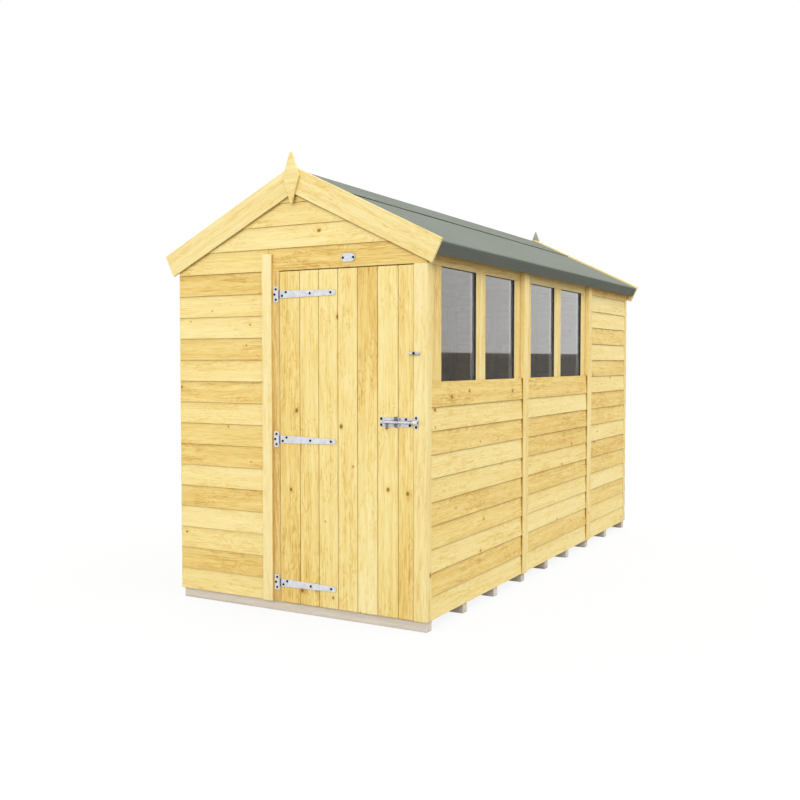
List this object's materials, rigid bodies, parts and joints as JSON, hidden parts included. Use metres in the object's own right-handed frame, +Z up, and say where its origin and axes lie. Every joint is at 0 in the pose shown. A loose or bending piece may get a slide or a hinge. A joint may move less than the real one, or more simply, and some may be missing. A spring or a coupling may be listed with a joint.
{
  "type": "apex shed",
  "caption": "Long apex garden shed of overlapped boards on bearers, with a ledged hinged door in one gable, a row of side windows and a felted roof with barge boards and finials.",
  "frame": {"origin": "on the ground, in the middle of the plan", "axes": "+X right as seen from the door, +Y from the door wall to the rear wall, +Z up"},
  "size_m": [1.668, 3.396, 2.3197],
  "materials": {
    "boards": "smooth planed pine",
    "trim": "smooth planed pine",
    "frame": "sawn pine",
    "bearers": "sawn grey-brown timber",
    "felt": "mineral felt",
    "glass": "clear glazing",
    "zinc": "bright zinc plate"
  },
  "bodies": {
    "shed": {"blank_plate": "zinc", "bolt_keep": "zinc", "button_screw": "zinc", "closing_post": "trim", "corner_boards": "trim", "eaves_battens": "frame", "finials": "trim", "floor_bearers": "bearers", "floor_deck": "frame", "front_barge_boards": "trim", "front_cover_strip": "trim", "front_gable_cladding": "boards", "front_left_cladding": "boards", "front_rails": "frame", "front_studs": "frame", "hinge_leaves": "zinc", "hinge_pins": "zinc", "hinge_post": "trim", "left_cladding": "boards", "left_rails": "frame", "left_studs": "frame", "rafters": "frame", "rear_barge_boards": "trim", "rear_cladding": "boards", "rear_rails": "frame", "rear_studs": "frame", "ridge_beam": "frame", "ridge_felt": "felt", "right_cladding": "boards", "right_rails": "frame", "right_studs": "frame", "roof_boards": "frame", "roof_felt": "felt", "roof_ties": "frame", "side_cover_strips": "trim", "window_glass": "glass", "window_heads": "trim", "window_posts": "trim", "window_sills": "trim"},
    "door": {"door_boards": "boards", "door_ledges": "frame", "door_braces": "frame", "hinge_straps": "zinc", "bolt_plate": "zinc"},
    "bolt": {"bolt_rod": "zinc"},
    "turn_button": {"turn_button": "zinc"}
  },
  "joints": [
    {"name": "door_hinge", "type": "hinge", "parent": "shed", "child": "door", "pos_m": [-0.0905, -1.6761, 0.8855], "axis": [0, 0, -1], "range_deg": [0, 160]},
    {"name": "bolt_slide", "type": "slide", "parent": "door", "child": "bolt", "axis": [-1, 0, 0], "range_m": [0, 0.036]},
    {"name": "button_turn", "type": "hinge", "parent": "shed", "child": "turn_button", "pos_m": [0.686, -1.681, 1.319], "axis": [0, -1, 0], "range_deg": [0, 90]}
  ]
}
